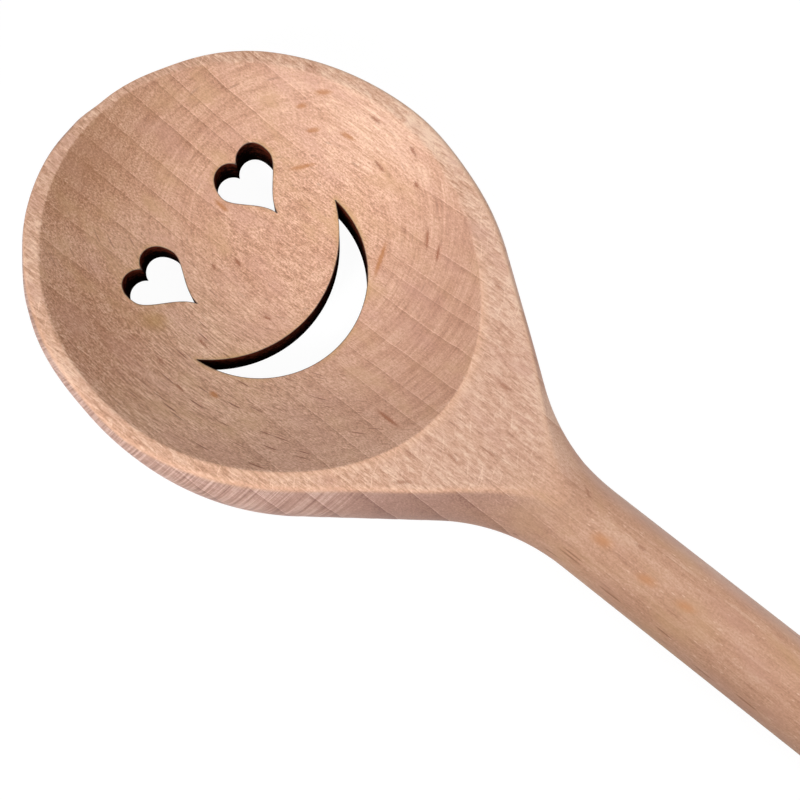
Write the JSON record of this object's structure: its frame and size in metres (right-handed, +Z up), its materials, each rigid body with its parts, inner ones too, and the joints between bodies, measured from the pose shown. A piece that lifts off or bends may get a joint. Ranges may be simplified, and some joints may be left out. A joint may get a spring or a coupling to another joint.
{
  "type": "wooden cooking spoon",
  "caption": "One-piece beech cooking spoon with a round handle and a shallow oval bowl pierced by hearts and a smile, for stirring and serving.",
  "frame": {"origin": "under the middle of the spoon's length, at the level of the lowest point of the back of its head", "axes": "+X along the handle, from the nose to the handle's end; +Z up, out of the dish; +Y across the head"},
  "size_m": [0.3, 0.0642, 0.0157],
  "materials": {
    "beech": "bare sanded beech with laser-charred cut edges"
  },
  "bodies": {
    "root": {"spoon": "beech"}
  },
  "joints": []
}
